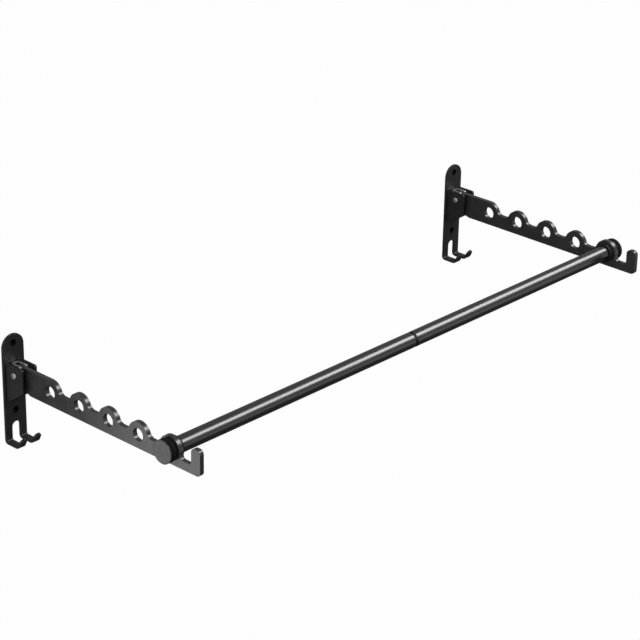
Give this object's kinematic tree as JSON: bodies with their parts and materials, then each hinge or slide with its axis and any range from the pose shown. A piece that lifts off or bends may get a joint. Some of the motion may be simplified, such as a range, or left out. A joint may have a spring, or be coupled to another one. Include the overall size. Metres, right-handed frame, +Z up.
{
  "type": "folding wall clothing rack",
  "caption": "Wall-mounted clothes rack: a round rod between scalloped, holed arms that fold up flat on hooked wall plates.",
  "frame": {"origin": "on the wall, midway between the brackets, at the height of the arms' pivots", "axes": "+X along the rod to the right as seen from the room, +Y into the wall, +Z up"},
  "size_m": [0.8351, 0.3203, 0.1393],
  "materials": {
    "black_steel": "satin",
    "black_tube": "satin",
    "zinc_steel": "bright",
    "sleeve_brass": "plain",
    "black_plastic": "matt",
    "cap_plastic": "satin",
    "rubber": "matt"
  },
  "bodies": {
    "wall_brackets": {"left_wall_plate": "black_steel", "left_pivot_saddle": "black_steel", "left_pivot_bolt": "zinc_steel", "left_pivot_washer": "zinc_steel", "left_pivot_nut": "zinc_steel", "left_pivot_bush_outer": "black_plastic", "left_pivot_bush_inner": "black_plastic", "right_wall_plate": "black_steel", "right_pivot_saddle": "black_steel", "right_pivot_bolt": "zinc_steel", "right_pivot_washer": "zinc_steel", "right_pivot_nut": "zinc_steel", "right_pivot_bush_outer": "black_plastic", "right_pivot_bush_inner": "black_plastic"},
    "left_arm_and_rod": {"left_arm": "black_steel", "left_arm_sleeve": "sleeve_brass", "rod_joint_stud": "zinc_steel", "rod_joint_ring": "black_plastic", "left_rod_plug": "black_plastic", "left_rod_tube": "black_tube", "left_joint_insert": "zinc_steel", "right_rod_plug": "black_plastic", "right_rod_tube": "black_tube", "right_joint_insert": "zinc_steel"},
    "right_arm": {"right_arm": "black_steel", "right_arm_sleeve": "sleeve_brass"},
    "left_cap": {"left_end_cap": "cap_plastic", "left_cap_washer": "rubber", "left_cap_stud": "zinc_steel"},
    "right_cap": {"right_end_cap": "cap_plastic", "right_cap_washer": "rubber", "right_cap_stud": "zinc_steel"}
  },
  "joints": [
    {"name": "left_arm_fold", "type": "hinge", "parent": "wall_brackets", "child": "left_arm_and_rod", "pos_m": [-0.4, -0.0177, 0], "axis": [-1, 0, 0], "range_deg": [0, 90]},
    {"name": "right_arm_fold", "type": "hinge", "parent": "wall_brackets", "child": "right_arm", "pos_m": [0.4, -0.0177, 0], "axis": [-1, 0, 0], "range_deg": [0, 90]},
    {"name": "left_cap_turn", "type": "hinge", "parent": "left_arm_and_rod", "child": "left_cap", "pos_m": [-0.409, -0.272, -0.0056], "axis": [-1, 0, 0], "continuous": true},
    {"name": "right_cap_turn", "type": "hinge", "parent": "left_arm_and_rod", "child": "right_cap", "pos_m": [0.409, -0.272, -0.0056], "axis": [1, 0, 0], "continuous": true}
  ],
  "couplings": [
    {"joint": "right_arm_fold", "follows": "left_arm_fold", "ratio": 1}
  ]
}
